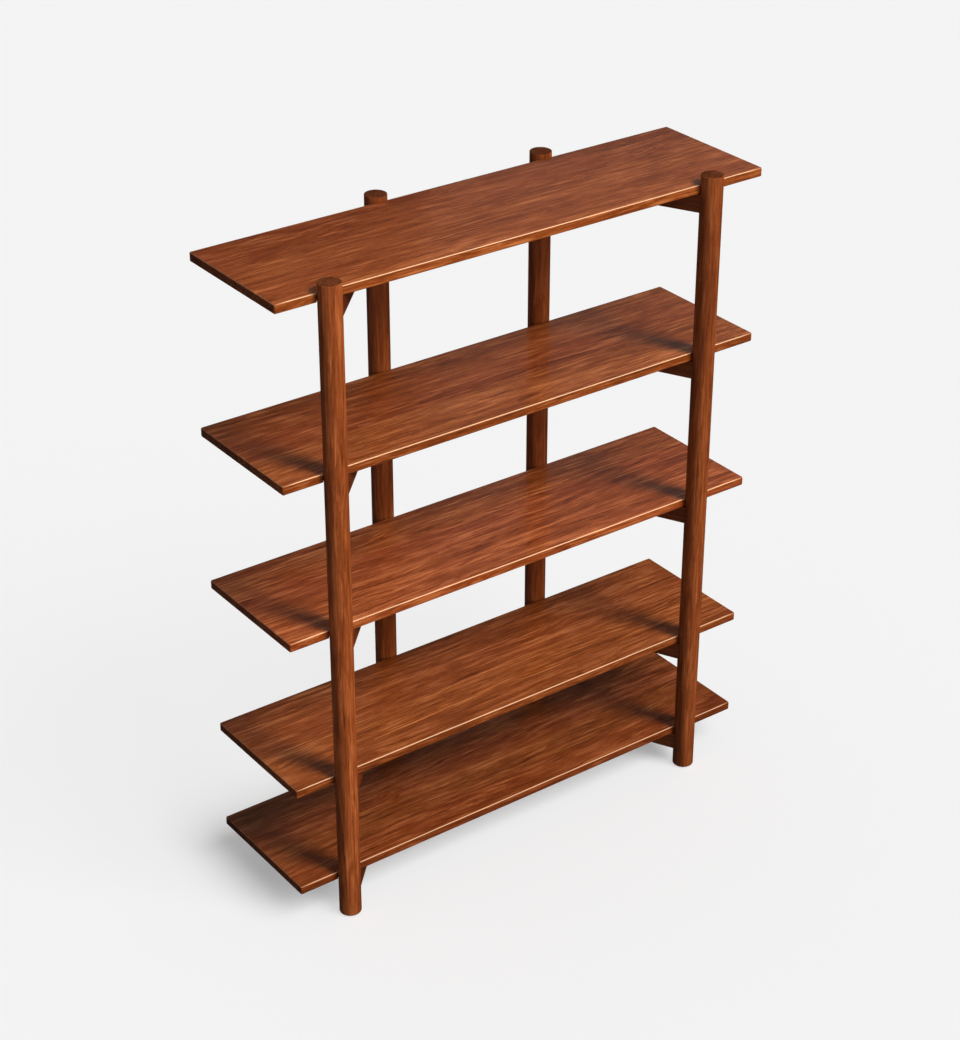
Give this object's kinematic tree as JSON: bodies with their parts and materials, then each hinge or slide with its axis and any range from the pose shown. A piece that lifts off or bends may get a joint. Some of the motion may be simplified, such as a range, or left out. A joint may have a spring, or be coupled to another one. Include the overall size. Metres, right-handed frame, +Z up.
{
  "type": "open bookcase",
  "caption": "Free-standing open wooden bookcase: loose boards on slanting bearers between round posts, the back pair of posts set closer together.",
  "frame": {"origin": "on the floor, under the middle of the whole bookcase's box", "axes": "+Z up, +X to the right seen from the front, +Y to the back"},
  "size_m": [1.2, 0.3964, 1.47],
  "materials": {
    "board_wood": "satin lacquer on red-brown hardwood staves",
    "post_wood": "satin lacquer on turned red-brown hardwood",
    "bearer_wood": "satin lacquer on red-brown hardwood",
    "dowel_wood": "plain beech",
    "pin_steel": "turned steel",
    "glide_nylon": "dark nylon"
  },
  "bodies": {
    "stand": {"post_front_left": "post_wood", "glide_front_left": "glide_nylon", "dowels_front_left": "dowel_wood", "post_back_left": "post_wood", "glide_back_left": "glide_nylon", "dowels_back_left": "dowel_wood", "bearer_left_1": "bearer_wood", "bearer_left_2": "bearer_wood", "bearer_left_3": "bearer_wood", "bearer_left_4": "bearer_wood", "bearer_left_5": "bearer_wood", "post_front_right": "post_wood", "glide_front_right": "glide_nylon", "dowels_front_right": "dowel_wood", "post_back_right": "post_wood", "glide_back_right": "glide_nylon", "dowels_back_right": "dowel_wood", "bearer_right_1": "bearer_wood", "bearer_right_2": "bearer_wood", "bearer_right_3": "bearer_wood", "bearer_right_4": "bearer_wood", "bearer_right_5": "bearer_wood", "shelf_pins_1": "pin_steel", "shelf_pins_2": "pin_steel", "shelf_pins_3": "pin_steel", "shelf_pins_4": "pin_steel", "shelf_pins_5": "pin_steel"},
    "board_1": {"shelf_1": "board_wood"},
    "board_2": {"shelf_2": "board_wood"},
    "board_3": {"shelf_3": "board_wood"},
    "board_4": {"shelf_4": "board_wood"},
    "board_5": {"shelf_5": "board_wood"}
  },
  "joints": [
    {"name": "lift_1", "type": "slide", "parent": "stand", "child": "board_1", "axis": [0, 0, 1], "range_m": [0, 0.187]},
    {"name": "lift_2", "type": "slide", "parent": "stand", "child": "board_2", "axis": [0, 0, 1], "range_m": [0, 0.295]},
    {"name": "lift_3", "type": "slide", "parent": "stand", "child": "board_3", "axis": [0, 0, 1], "range_m": [0, 0.294]},
    {"name": "lift_4", "type": "slide", "parent": "stand", "child": "board_4", "axis": [0, 0, 1], "range_m": [0, 0.318]},
    {"name": "lift_5", "type": "slide", "parent": "stand", "child": "board_5", "axis": [0, 0, 1], "range_m": [0, 0.15]}
  ]
}
